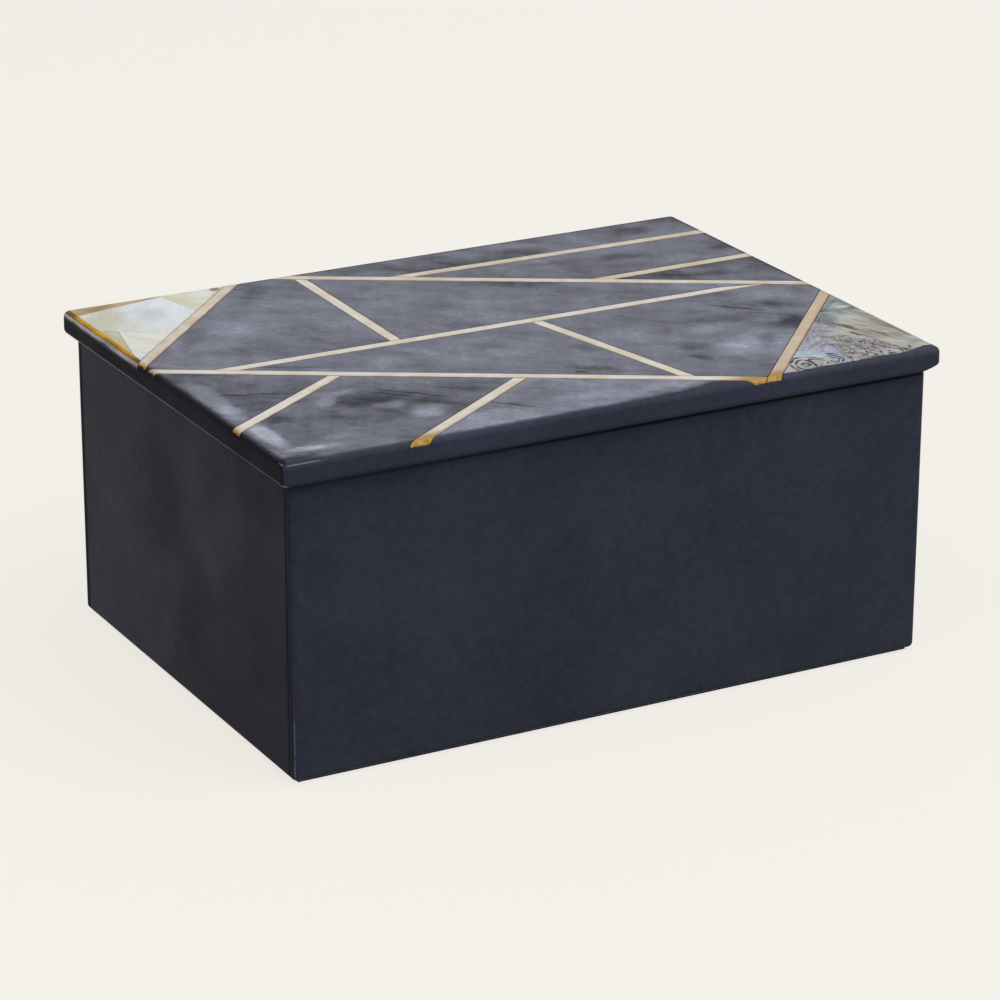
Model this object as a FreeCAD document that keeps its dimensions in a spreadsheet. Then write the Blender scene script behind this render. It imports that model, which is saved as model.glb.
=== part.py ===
import FreeCAD, Part
import Sketcher
import math
import os

# A wooden box with a loose lift-off lid. The lid carries a thin layer of dark tiles,
# brass strips and two shell corners. Front faces -Y, length runs along X, up is +Z,
# and the origin is the middle of the face that the box rests on.
# Lengths are in millimetres and angles in degrees.
DIMENSIONS = {
    # Lid board and the inlay layer on it
    "lid_length": 250.0,
    "lid_depth": 180.0,
    "lid_overhang": 3.75,
    "core_thickness": 6.0,
    "inlay_thickness": 2.5,
    "lid_corner_radius": 2.6,
    "lid_lower_radius": 2.2,
    "lid_upper_radius": 2.2,
    # Bevel under the right end of the lid, which gives the fingers room to lift it
    "grip_width": 8.4,
    "grip_height": 3.1,
    # Walls, from the underside of the bottom board to the rim
    "wall_height": 103.5,
    "wall_thickness": 9.0,
    "wall_corner_radius": 2.2,
    "wall_edge_radius": 2.0,
    "rabbet_lip": 3.0,
    "seam_groove": 0.5,
    # Bottom board in its recess, and the felt on both its faces
    "bottom_thickness": 6.0,
    "bottom_recess": 4.5,
    "bottom_fit": 0.25,
    "base_felt_thickness": 1.0,
    "base_felt_inset": 2.5,
    "lining_thickness": 1.5,
    "lining_fit": 0.5,
    # Battens under the lid that drop inside the walls
    "lip_height": 8.0,
    "lip_width": 8.0,
    "lip_clearance": 2.0,
    "lip_chamfer": 0.8,
    # Panel pins
    "pin_diameter": 1.2,
    "pin_head_diameter": 2.2,
    "pin_head_thickness": 0.6,
    "pin_fit": 0.1,
    "bottom_pin_length": 14.0,
    "lip_pin_length": 12.0,
    "pin_end_distance": 24.0,
    # Brass strips: width, glue line beside them, and where each one runs. The gaps are between
    # the middle lines of a long strip and a corner strip, measured along the lid's edge.
    "strip_width": 4.1,
    "glue_line": 0.25,
    "pearl_strip_drop": 69.4,
    "pearl_strip_run": 66.8,
    "abalone_strip_run": 68.1,
    "abalone_strip_rise": 73.0,
    "back_strip_start_gap": 13.9,
    "back_strip_end_gap": 9.4,
    "front_strip_start_gap": 6.4,
    "front_strip_end_gap": 3.1,
    "middle_strip_root": 22.0,
    "middle_strip_tail": 17.6,
    "middle_strip_taper": 17.0,
    "middle_strip_tip": 0.4,
    "upper_cross_root": 10.4,
    "upper_cross_angle": -91.0,
    "lower_cross_root": 94.3,
    "lower_cross_angle": -77.8,
    "left_strip_root": 63.8,
    "left_strip_angle": -146.7,
    "lower_strip_root": 125.8,
    "lower_strip_angle": -145.9,
    "upper_right_root": 43.4,
    "upper_right_angle": -1.2,
    "right_strip_root": 78.9,
    "right_strip_angle": 0.4,
    # Joints between the pieces of shell
    "shell_joint": 0.12,
    "pearl_band_drop": 9.9,
    "pearl_band_run": 49.5,
    "pearl_right_run": 36.2,
    "pearl_right_angle": -75.5,
    "pearl_lower_drop": 26.1,
    "pearl_lower_angle": -33.8,
    "pearl_edge_angle": 78.0,
    "pearl_tip_drop": 56.8,
    "abalone_left_run": 36.0,
    "abalone_left_angle": 80.2,
    "abalone_right_run": 10.3,
    "abalone_right_angle": 106.3,
    "abalone_tip_rise": 48.7,
    "abalone_tip_angle": 167.3,
}

# Panel pins along each long side and each short side
LONG_BOTTOM_PIN_COUNT = 4
SHORT_BOTTOM_PIN_COUNT = 3
LONG_LIP_PIN_COUNT = 3
SHORT_LIP_PIN_COUNT = 2
# Cutting tools reach this far past the faces that they cut.
OVERRUN = 5.0

# Two places closer than this are the same.
SAME = 1e-4
# A sketched rectangle reaches this far each way until its length and depth are set.
SKETCH_START = 50.0

# The two sides of a line in plan
LEFT = 1
RIGHT = -1

doc = FreeCAD.newDocument("inlaid_box")
sheet = doc.addObject("Spreadsheet::Sheet", "sizes")
for row, (alias, value) in enumerate(DIMENSIONS.items(), start=1):
    sheet.set(f"A{row}", alias)
    sheet.set(f"B{row}", str(value))
    sheet.setAlias(f"B{row}", alias)
doc.recompute()


def size(alias):
    """A driving dimension as it stands in the sheet."""
    return float(sheet.get(alias))


# Sizes that several pieces share, as expressions of the sheet
BODY_LENGTH = "(sizes.lid_length - 2 * sizes.lid_overhang)"
BODY_DEPTH = "(sizes.lid_depth - 2 * sizes.lid_overhang)"
INNER_LENGTH = f"({BODY_LENGTH} - 2 * sizes.wall_thickness)"
INNER_DEPTH = f"({BODY_DEPTH} - 2 * sizes.wall_thickness)"
RECESS_LENGTH = f"({INNER_LENGTH} + 2 * sizes.bottom_recess)"
RECESS_DEPTH = f"({INNER_DEPTH} + 2 * sizes.bottom_recess)"
LIP_LENGTH = f"({INNER_LENGTH} - 2 * sizes.lip_clearance)"
LIP_DEPTH = f"({INNER_DEPTH} - 2 * sizes.lip_clearance)"
WALL_FOOT = "sizes.base_felt_thickness"
FLOOR = f"({WALL_FOOT} + sizes.bottom_thickness)"
RIM = f"({WALL_FOOT} + sizes.wall_height)"
LIP_FOOT = f"({RIM} - sizes.lip_height)"
CORE_TOP = f"({RIM} + sizes.core_thickness)"
PIN_HOLE = "(sizes.pin_diameter + sizes.pin_fit)"
HEAD_HOLE = "(sizes.pin_head_diameter + sizes.pin_fit)"


def bind(item, expressions):
    """Tie properties of an object to the sheet and return the object."""
    for name, expression in expressions.items():
        item.setExpression(name, expression)
    return item


def block(name, length, depth, height, x, y, z):
    """A box with its low corner at x, y, z."""
    return bind(doc.addObject("Part::Box", name), {
        "Length": length, "Width": depth, "Height": height,
        "Placement.Base.x": x, "Placement.Base.y": y, "Placement.Base.z": z,
    })


def centred_block(name, length, depth, height, z):
    """A box centred on the upright axis, standing at height z."""
    return block(name, length, depth, height, f"-{length} / 2", f"-{depth} / 2", z)


def rod(name, diameter, height, x, y, z):
    """An upright cylinder on the point x, y, z."""
    return bind(doc.addObject("Part::Cylinder", name), {
        "Radius": f"{diameter} / 2", "Height": height,
        "Placement.Base.x": x, "Placement.Base.y": y, "Placement.Base.z": z,
    })


def cut(name, base, *tools):
    """The base with the tools taken away, one after another."""
    for count, tool in enumerate(tools, start=1):
        last = count == len(tools)
        made = doc.addObject("Part::Cut", name if last else f"{name}_cut{count}")
        made.Base = base
        made.Tool = tool
        base = made
    return base


def common(name, base, tool):
    """What two objects share."""
    made = doc.addObject("Part::Common", name)
    made.Base = base
    made.Tool = tool
    return made


def compound(name, members):
    """Separate solids kept together as one object."""
    made = doc.addObject("Part::Compound", name)
    made.Links = members
    return made


def upright(edge):
    """True for an edge that runs along Z."""
    return edge.BoundBox.XLength < SAME and edge.BoundBox.YLength < SAME


def slab(name, length, depth, height, x, y, z):
    """A body padded from a rectangle that is centred on x, y, with its underside at z."""
    body = doc.addObject("PartDesign::Body", name)
    sketch = body.newObject("Sketcher::SketchObject", f"{name}_outline")
    plane = next(item for item in body.Origin.OriginFeatures if item.Role == "XY_Plane")
    sketch.AttachmentSupport = (plane, [""])
    sketch.MapMode = "FlatFace"
    signs = ((-1, -1), (1, -1), (1, 1), (-1, 1))
    corners = [FreeCAD.Vector(right * SKETCH_START, back * SKETCH_START, 0) for right, back in signs]
    for first, second in zip(corners, corners[1:] + corners[:1]):
        sketch.addGeometry(Part.LineSegment(first, second))
    for side in range(4):
        sketch.addConstraint(Sketcher.Constraint("Coincident", side, 2, (side + 1) % 4, 1))
        sketch.addConstraint(Sketcher.Constraint("Vertical" if side % 2 else "Horizontal", side))
    sketch.addConstraint(Sketcher.Constraint("Symmetric", 0, 1, 2, 1, -1, 1))
    for label, kind, side in (("length", "DistanceX", 0), ("depth", "DistanceY", 1)):
        index = sketch.addConstraint(Sketcher.Constraint(kind, side, 1, side, 2, 2 * SKETCH_START))
        sketch.renameConstraint(index, label)
    bind(sketch, {"Constraints.length": length, "Constraints.depth": depth})
    pad = body.newObject("PartDesign::Pad", f"{name}_pad")
    pad.Profile = sketch
    pad.setExpression("Length", height)
    bind(body, {"Placement.Base.x": x, "Placement.Base.y": y, "Placement.Base.z": z})
    doc.recompute()
    return body


def ease(body, label, kind, amount, chosen):
    """Round (kind Fillet) or bevel (kind Chamfer) the chosen edges of a body."""
    base = body.Tip
    edges = [f"Edge{number}" for number, edge in enumerate(base.Shape.Edges, start=1) if chosen(edge)]
    eased = body.newObject(f"PartDesign::{kind}", f"{body.Name}_{label}")
    eased.Base = (base, edges)
    eased.setExpression("Radius" if kind == "Fillet" else "Size", amount)
    doc.recompute()


def on_underside(edge):
    """True for an edge of a slab's underside, seen in the slab's own frame."""
    return edge.BoundBox.ZMax < SAME


def rounded_slab(name, length, depth, height, foot, corner, top=None, bottom=None):
    """A slab centred on the upright axis, with rounded corners and any rounded top and bottom edges."""
    body = slab(name, length, depth, height, "0", "0", foot)
    upper = body.Tip.Shape.BoundBox.ZMax
    ease(body, "corners", "Fillet", corner, upright)
    if top:
        ease(body, "top", "Fillet", top, lambda edge: abs(edge.BoundBox.ZMin - upper) < SAME)
    if bottom:
        ease(body, "bottom", "Fillet", bottom, on_underside)
    return body


def pin_row(name, count, span, fixed, across):
    """Places for a row of pins: the first and last stand in from the ends of the span."""
    step = f"({span} - 2 * sizes.pin_end_distance) / {count - 1}"
    places = []
    for number in range(count):
        along = f"-{span} / 2 + sizes.pin_end_distance + {number} * {step}"
        places.append((f"{name}{number + 1}", (fixed, along) if across else (along, fixed)))
    return places


def pin_ring(long_count, short_count, length, depth, x, y):
    """Places for four rows of pins round a rectangle of lines at x and y either side."""
    places = pin_row("front", long_count, length, f"-{y}", False)
    places += pin_row("back", long_count, length, y, False)
    places += pin_row("left", short_count, depth, f"-{x}", True)
    places += pin_row("right", short_count, depth, x, True)
    return places


def pins(name, places, length, foot):
    """A group of headed pins driven upwards, and the holes that take them."""
    solids = []
    holes = []
    for label, (x, y) in places:
        head = rod(f"{name}_{label}_head", "sizes.pin_head_diameter", "sizes.pin_head_thickness", x, y, foot)
        shank = rod(f"{name}_{label}_shank", "sizes.pin_diameter", length, x, y, foot)
        pin = doc.addObject("Part::Fuse", f"{name}_{label}")
        pin.Base = shank
        pin.Tool = head
        solids.append(pin)
        head_hole = f"(sizes.pin_head_thickness + {OVERRUN})"
        holes.append(rod(f"{name}_{label}_seat", HEAD_HOLE, head_hole, x, y, f"{foot} - {OVERRUN}"))
        holes.append(rod(f"{name}_{label}_hole", PIN_HOLE, f"({length} + sizes.pin_fit)", x, y, foot))
    return compound(name, solids), compound(f"{name}_holes", holes)


# Box body: four walls cut from one rounded block, so that their edges line up
wall_block = rounded_slab("wall_block", BODY_LENGTH, BODY_DEPTH, "sizes.wall_height", WALL_FOOT,
                          "sizes.wall_corner_radius", top="sizes.wall_edge_radius",
                          bottom="sizes.wall_edge_radius")
recess = centred_block("bottom_recess_tool", RECESS_LENGTH, RECESS_DEPTH,
                       f"(sizes.bottom_thickness + {OVERRUN})", f"{WALL_FOOT} - {OVERRUN}")
pin_line_x = f"({RECESS_LENGTH} / 2 - sizes.bottom_recess / 2)"
pin_line_y = f"({RECESS_DEPTH} / 2 - sizes.bottom_recess / 2)"
bottom_places = pin_ring(LONG_BOTTOM_PIN_COUNT, SHORT_BOTTOM_PIN_COUNT, RECESS_LENGTH,
                         RECESS_DEPTH, pin_line_x, pin_line_y)
bottom_pins, bottom_holes = pins("bottom_pins", bottom_places, "sizes.bottom_pin_length", WALL_FOOT)

TALL = f"(sizes.wall_height + {2 * OVERRUN})"
BELOW = f"{WALL_FOOT} - {OVERRUN}"


def long_panel(name, near):
    """The front (near = -1) or back (near = 1) wall, with a rabbet at each end for the side walls."""
    outer = f"{BODY_DEPTH} / 2"
    low = f"-{outer}" if near < 0 else f"{outer} - sizes.wall_thickness"
    plank = block(f"{name}_plank", BODY_LENGTH, "sizes.wall_thickness", TALL,
                  f"-{BODY_LENGTH} / 2", low, BELOW)
    deep = f"(sizes.wall_thickness - sizes.rabbet_lip + {OVERRUN})"
    start = f"-{outer} + sizes.rabbet_lip" if near < 0 else f"{outer} - sizes.wall_thickness - {OVERRUN}"
    wide = f"(sizes.wall_thickness + {OVERRUN})"
    ends = {
        "left": f"-{BODY_LENGTH} / 2 - {OVERRUN}",
        "right": f"{BODY_LENGTH} / 2 - sizes.wall_thickness",
    }
    rabbets = []
    for end, x in ends.items():
        rabbets.append(block(f"{name}_{end}_rabbet", wide, deep, TALL, x, start, BELOW))
    board = common(f"{name}_board", wall_block, plank)
    return cut(name, board, *rabbets, recess, bottom_holes)


def side_panel(name, near):
    """The left (near = -1) or right (near = 1) wall, with a fine groove where it meets the lips."""
    outer = f"{BODY_LENGTH} / 2"
    length = f"({BODY_DEPTH} - 2 * sizes.rabbet_lip)"
    low = f"-{outer}" if near < 0 else f"{outer} - sizes.wall_thickness"
    plank = block(f"{name}_plank", "sizes.wall_thickness", length, TALL, low, f"-{length} / 2", BELOW)
    face = f"-{outer} - {OVERRUN}" if near < 0 else f"{outer} - sizes.seam_groove"
    wide = f"(sizes.seam_groove + {OVERRUN})"
    grooves = []
    for end, y in (("front", f"-{length} / 2"), ("back", f"{length} / 2 - sizes.seam_groove")):
        grooves.append(block(f"{name}_{end}_groove", wide, "sizes.seam_groove", TALL, face, y, BELOW))
    board = common(f"{name}_board", wall_block, plank)
    return cut(name, board, *grooves, recess, bottom_holes)


body_nodes = [
    long_panel("front_panel", -1),
    long_panel("back_panel", 1),
    side_panel("left_panel", -1),
    side_panel("right_panel", 1),
    cut("bottom_panel", centred_block("bottom_board", f"({RECESS_LENGTH} - 2 * sizes.bottom_fit)",
                                      f"({RECESS_DEPTH} - 2 * sizes.bottom_fit)",
                                      "sizes.bottom_thickness", WALL_FOOT), bottom_holes),
    bottom_pins,
    centred_block("base_felt", f"({BODY_LENGTH} - 2 * sizes.base_felt_inset)",
                  f"({BODY_DEPTH} - 2 * sizes.base_felt_inset)", "sizes.base_felt_thickness", "0"),
    centred_block("floor_lining", f"({INNER_LENGTH} - 2 * sizes.lining_fit)",
                  f"({INNER_DEPTH} - 2 * sizes.lining_fit)", "sizes.lining_thickness", FLOOR),
]

# Lid board with its battens
core_block = rounded_slab("core_block", "sizes.lid_length", "sizes.lid_depth", "sizes.core_thickness",
                          RIM, "sizes.lid_corner_radius", bottom="sizes.lid_lower_radius")
# The bevel under the right end is cut by a wedge turned upright: its slope passes through both edges
# of the bevel, and the wedge ends in a ridge beyond the lid.
BEYOND_END = f"(sizes.lid_length / 2 + {OVERRUN})"
BEYOND_SIDE = f"(sizes.lid_depth / 2 + {OVERRUN})"
grip_tool = doc.addObject("Part::Wedge", "grip_tool")
grip_tool.Placement = FreeCAD.Placement(FreeCAD.Vector(), FreeCAD.Rotation(FreeCAD.Vector(1, 0, 0), 90))
bind(grip_tool, {
    "Xmin": "sizes.lid_length / 2 - 2 * sizes.grip_width", "Xmax": BEYOND_END,
    "X2min": BEYOND_END, "X2max": BEYOND_END,
    "Ymin": "0", "Ymax": f"(2 * sizes.grip_width + {OVERRUN}) * sizes.grip_height / sizes.grip_width",
    "Zmin": f"-{BEYOND_SIDE}", "Zmax": BEYOND_SIDE,
    "Z2min": f"-{BEYOND_SIDE}", "Z2max": BEYOND_SIDE,
    "Placement.Base.z": f"{RIM} - sizes.grip_height",
})
lip_line_x = f"({LIP_LENGTH} / 2 - sizes.lip_width / 2)"
lip_line_y = f"({LIP_DEPTH} / 2 - sizes.lip_width / 2)"
lip_places = pin_ring(LONG_LIP_PIN_COUNT, SHORT_LIP_PIN_COUNT, LIP_LENGTH,
                      LIP_DEPTH, lip_line_x, lip_line_y)
lip_pins, lip_holes = pins("lip_pins", lip_places, "sizes.lip_pin_length", LIP_FOOT)
SHORT_LIP = f"({LIP_DEPTH} - 2 * sizes.lip_width)"


def batten(name, length, depth, x, y):
    """One batten centred on x, y, bevelled along its lower edges and drilled for its pins."""
    body = slab(f"{name}_bar", length, depth, "sizes.lip_height", x, y, LIP_FOOT)
    longest = max(edge.Length for edge in body.Tip.Shape.Edges)
    ease(body, "bevel", "Chamfer", "sizes.lip_chamfer",
         lambda edge: on_underside(edge) and longest - edge.Length < SAME)
    return cut(name, body, lip_holes)


lid_nodes = [
    cut("lid_core", core_block, grip_tool, lip_holes),
    batten("lip_front", LIP_LENGTH, "sizes.lip_width", "0", f"-{lip_line_y}"),
    batten("lip_back", LIP_LENGTH, "sizes.lip_width", "0", lip_line_y),
    batten("lip_left", "sizes.lip_width", SHORT_LIP, f"-{lip_line_x}", "0"),
    batten("lip_right", "sizes.lip_width", SHORT_LIP, lip_line_x, "0"),
    lip_pins,
]

# Inlay: one rounded layer, shared out by straight lines in plan. A line is a point and a direction.
inlay_block = rounded_slab("inlay_block", "sizes.lid_length", "sizes.lid_depth", "sizes.inlay_thickness",
                           CORE_TOP, "sizes.lid_corner_radius", top="sizes.lid_upper_radius")
edge_x = size("lid_length") / 2
edge_y = size("lid_depth") / 2


def point(x, y):
    return FreeCAD.Vector(x, y, 0)


def through(start, end):
    """The line from one point towards another."""
    return start, (end - start).normalize()


def leaving(start, angle):
    """The line that leaves a point at an angle from +X."""
    turn = math.radians(angle)
    return start, point(math.cos(turn), math.sin(turn))


def along(line, distance):
    """The point at a distance from a line's start."""
    return line[0] + line[1] * distance


def left_of(direction):
    """The direction a quarter turn to the left."""
    return point(-direction.y, direction.x)


def keep(outline, line, side, offset):
    """The part of a convex outline that lies on one side of a line, at least the offset away from it."""
    start, direction = line
    normal = left_of(direction) * side
    heights = [(corner - start).dot(normal) - offset for corner in outline]
    kept = []
    for index, here in enumerate(outline):
        after = (index + 1) % len(outline)
        if heights[index] >= 0:
            kept.append(here)
        if heights[index] * heights[after] < 0:
            share = heights[index] / (heights[index] - heights[after])
            kept.append(here + (outline[after] - here) * share)
    return kept


def on_left(drop):
    return point(-edge_x, edge_y - drop)


def on_back(run):
    return point(-edge_x + run, edge_y)


def on_front(run):
    return point(edge_x - run, -edge_y)


def on_right(rise):
    return point(edge_x, -edge_y + rise)


half_strip = size("strip_width") / 2
half_shell_joint = size("shell_joint") / 2
back_strip_start = on_back(size("pearl_strip_run") + size("back_strip_start_gap"))
back_strip_end = on_right(size("abalone_strip_rise") + size("back_strip_end_gap"))
front_strip_start = on_left(size("pearl_strip_drop") + size("front_strip_start_gap"))
front_strip_end = on_front(size("abalone_strip_run") + size("front_strip_end_gap"))
pearl_line = through(on_left(size("pearl_strip_drop")), on_back(size("pearl_strip_run")))
abalone_line = through(on_front(size("abalone_strip_run")), on_right(size("abalone_strip_rise")))
back_line = through(back_strip_start, back_strip_end)
front_line = through(front_strip_start, front_strip_end)
middle_end = back_strip_end - back_line[1] * size("middle_strip_tail")
middle_line = through(along(front_line, size("middle_strip_root")), middle_end)
upper_cross_line = leaving(along(back_line, size("upper_cross_root")), size("upper_cross_angle"))
lower_cross_line = leaving(middle_end - middle_line[1] * size("lower_cross_root"), size("lower_cross_angle"))
left_line = leaving(along(front_line, size("left_strip_root")), size("left_strip_angle"))
lower_line = leaving(along(front_line, size("lower_strip_root")), size("lower_strip_angle"))
upper_right_line = leaving(along(back_line, size("upper_right_root")), size("upper_right_angle"))
right_line = leaving(back_strip_end - back_line[1] * size("right_strip_root"), size("right_strip_angle"))

# The middle strip is pared to a point on its back edge, and a sliver of tile fills what was pared away.
middle_left = left_of(middle_line[1])
taper_start = middle_end - middle_line[1] * size("middle_strip_taper") + middle_left * half_strip
taper_line = through(taper_start, middle_end + middle_left * (size("middle_strip_tip") - half_strip))
seam_line = (taper_start, middle_left)


def inlay_piece(name, outline):
    """A piece of the inlay layer with a convex outline in plan."""
    sketch = doc.addObject("Sketcher::SketchObject", f"{name}_outline")
    for index, corner in enumerate(outline):
        sketch.addGeometry(Part.LineSegment(corner, outline[(index + 1) % len(outline)]))
    for index in range(len(outline)):
        after = (index + 1) % len(outline)
        sketch.addConstraint(Sketcher.Constraint("Coincident", index, 2, after, 1))
    sketch.setExpression("Placement.Base.z", f"{CORE_TOP} - {OVERRUN}")
    prism = doc.addObject("Part::Extrusion", f"{name}_prism")
    prism.Base = sketch
    prism.DirMode = "Normal"
    prism.Solid = True
    prism.setExpression("LengthFwd", f"sizes.inlay_thickness + {2 * OVERRUN}")
    return common(name, prism, inlay_block)


def lid_outline():
    """A rectangle just larger than the lid, which the rounded layer trims."""
    x = edge_x + OVERRUN
    y = edge_y + OVERRUN
    return [point(-x, -y), point(x, -y), point(x, y), point(-x, y)]


def beside(strips, outline):
    """An outline trimmed to the given side of each strip, with room for the glue line."""
    for line, side in strips:
        outline = keep(outline, line, side, half_strip + size("glue_line"))
    return outline


def strip(name, line, hosts, cuts=()):
    """A brass strip along a line, ending against its host strips or at the lid's edge."""
    sides = [(line, LEFT, -half_strip), (line, RIGHT, -half_strip)]
    return tile(name, hosts, sides + list(cuts))


def tile(name, strips, cuts=()):
    """A piece of the layer beside the given strips. Cuts are further lines, with no strip on them."""
    outline = beside(strips, lid_outline())
    for line, side, offset in cuts:
        outline = keep(outline, line, side, offset)
    return inlay_piece(name, outline)


def shell(name, corner_strip, joints):
    """A piece of shell in a corner beyond a strip, with joints to its neighbours."""
    return tile(name, [corner_strip], [(line, side, half_shell_joint) for line, side in joints])


corners_clear = [(pearl_line, RIGHT), (abalone_line, LEFT)]
strip_nodes = [
    strip("pearl_strip", pearl_line, []),
    strip("abalone_strip", abalone_line, []),
    strip("back_strip", back_line, corners_clear),
    strip("front_strip", front_line, corners_clear),
    strip("middle_strip", middle_line, [(front_line, LEFT), (back_line, RIGHT)],
          [(taper_line, RIGHT, 0.0)]),
    strip("upper_cross_strip", upper_cross_line, [(back_line, RIGHT), (middle_line, LEFT)]),
    strip("lower_cross_strip", lower_cross_line, [(middle_line, RIGHT), (front_line, LEFT)]),
    strip("left_strip", left_line, [(front_line, RIGHT)]),
    strip("lower_strip", lower_line, [(front_line, RIGHT)]),
    strip("upper_right_strip", upper_right_line, [(back_line, LEFT)]),
    strip("right_strip", right_line, [(back_line, LEFT)]),
]

glue_line = size("glue_line")
tile_nodes = [
    tile("back_tile", [(back_line, LEFT), (upper_right_line, LEFT)]),
    tile("upper_right_tile", [(back_line, LEFT), (upper_right_line, RIGHT), (right_line, LEFT)]),
    tile("right_tile", [(back_line, LEFT), (right_line, RIGHT), (abalone_line, LEFT)]),
    tile("upper_left_tile", [(pearl_line, RIGHT), (back_line, RIGHT), (upper_cross_line, RIGHT),
                             (middle_line, LEFT), (front_line, LEFT)]),
    tile("centre_tile", [(back_line, RIGHT), (upper_cross_line, LEFT), (middle_line, LEFT)],
         [(seam_line, LEFT, glue_line / 2)]),
    tile("sliver_tile", [(back_line, RIGHT)],
         [(taper_line, LEFT, glue_line), (seam_line, RIGHT, glue_line / 2)]),
    tile("lower_centre_tile", [(middle_line, RIGHT), (lower_cross_line, RIGHT), (front_line, LEFT)]),
    tile("lower_right_tile", [(middle_line, RIGHT), (lower_cross_line, LEFT), (front_line, LEFT),
                              (abalone_line, LEFT), (back_line, RIGHT)]),
    tile("left_tile", [(pearl_line, RIGHT), (front_line, RIGHT), (left_line, RIGHT)]),
    tile("corner_tile", [(front_line, RIGHT), (left_line, LEFT), (lower_line, RIGHT)]),
    tile("front_tile", [(front_line, RIGHT), (lower_line, LEFT), (abalone_line, LEFT)]),
]

band_joint = through(on_left(size("pearl_band_drop")), on_back(size("pearl_band_run")))
pearl_right_joint = leaving(on_back(size("pearl_right_run")), size("pearl_right_angle"))
pearl_lower_joint = leaving(on_left(size("pearl_lower_drop")), size("pearl_lower_angle"))
pearl_edge_joint = leaving(pearl_line[0], size("pearl_edge_angle"))
pearl_tip_joint = leaving(on_left(size("pearl_tip_drop")), 0.0)
abalone_left_joint = leaving(on_front(size("abalone_left_run")), size("abalone_left_angle"))
abalone_right_joint = leaving(on_front(size("abalone_right_run")), size("abalone_right_angle"))
abalone_tip_joint = leaving(on_right(size("abalone_tip_rise")), size("abalone_tip_angle"))

in_pearl = (pearl_line, LEFT)
in_abalone = (abalone_line, RIGHT)
shell_nodes = [
    shell("pearl_band", in_pearl, [(band_joint, LEFT), (pearl_right_joint, RIGHT)]),
    shell("pearl_right", in_pearl, [(pearl_right_joint, LEFT)]),
    shell("pearl_centre", in_pearl, [(band_joint, RIGHT), (pearl_right_joint, RIGHT),
                                     (pearl_lower_joint, LEFT)]),
    shell("pearl_edge", in_pearl, [(pearl_lower_joint, RIGHT), (pearl_edge_joint, LEFT)]),
    shell("pearl_lower", in_pearl, [(pearl_lower_joint, RIGHT), (pearl_edge_joint, RIGHT),
                                    (pearl_tip_joint, LEFT)]),
    shell("pearl_tip", in_pearl, [(pearl_edge_joint, RIGHT), (pearl_tip_joint, RIGHT)]),
    shell("abalone_left", in_abalone, [(abalone_left_joint, LEFT)]),
    shell("abalone_middle", in_abalone, [(abalone_left_joint, RIGHT), (abalone_right_joint, LEFT)]),
    shell("abalone_right", in_abalone, [(abalone_right_joint, RIGHT), (abalone_tip_joint, LEFT)]),
    shell("abalone_tip", in_abalone, [(abalone_right_joint, RIGHT), (abalone_tip_joint, RIGHT)]),
]

doc.recompute()
nodes = body_nodes + lid_nodes + strip_nodes + tile_nodes + shell_nodes
for item in doc.Objects:
    if "Invalid" in item.State or "Error" in item.State:
        raise RuntimeError(f"{item.Label} failed to rebuild")
for node in nodes:
    if node.Shape.isNull() or not node.Shape.isValid() or not node.Shape.Solids:
        raise RuntimeError(f"{node.Label} has no sound solid")

os.makedirs("parts", exist_ok=True)
for node in nodes:
    node.Shape.exportStep(os.path.join("parts", f"{node.Label}.step"))
print(len(nodes), "nodes written")
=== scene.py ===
import bpy
import math
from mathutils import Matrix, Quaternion, Vector, noise


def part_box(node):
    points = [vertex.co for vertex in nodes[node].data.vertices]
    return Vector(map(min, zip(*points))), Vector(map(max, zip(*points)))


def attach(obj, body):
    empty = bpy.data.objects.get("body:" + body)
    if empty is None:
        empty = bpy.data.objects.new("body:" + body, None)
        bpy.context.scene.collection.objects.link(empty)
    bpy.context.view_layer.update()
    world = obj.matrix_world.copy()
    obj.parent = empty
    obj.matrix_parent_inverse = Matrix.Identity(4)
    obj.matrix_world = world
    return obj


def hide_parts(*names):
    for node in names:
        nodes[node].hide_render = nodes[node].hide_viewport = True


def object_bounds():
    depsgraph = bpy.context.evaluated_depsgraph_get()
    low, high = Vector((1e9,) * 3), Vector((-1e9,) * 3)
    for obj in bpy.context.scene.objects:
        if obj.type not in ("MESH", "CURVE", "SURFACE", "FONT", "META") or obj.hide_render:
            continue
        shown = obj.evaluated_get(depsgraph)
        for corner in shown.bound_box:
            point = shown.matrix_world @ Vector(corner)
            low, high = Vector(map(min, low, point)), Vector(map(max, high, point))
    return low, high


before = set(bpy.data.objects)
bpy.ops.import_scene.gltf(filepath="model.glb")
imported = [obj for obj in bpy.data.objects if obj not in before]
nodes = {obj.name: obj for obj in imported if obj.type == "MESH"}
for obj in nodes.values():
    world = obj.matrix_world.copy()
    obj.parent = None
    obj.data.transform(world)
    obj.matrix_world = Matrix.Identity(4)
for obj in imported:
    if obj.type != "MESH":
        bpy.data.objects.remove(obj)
cad_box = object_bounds()

# An inlaid box with a loose lid. Lengths are in metres, colours are linear and angles are in degrees.
MM = 0.001

# Camera, with the lens and the sensor in millimetres
CAMERA_AZIMUTH = -28.57
CAMERA_ELEVATION = 20.67
CAMERA_ROLL = 0.17
CAMERA_DISTANCE = 1398.5 * MM
CAMERA_LENS = 142.9
SENSOR_WIDTH = 36.0
LOOK_AT_HEIGHT = 49.35 * MM
LOOK_AT_RIGHT = 1.48 * MM

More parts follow.
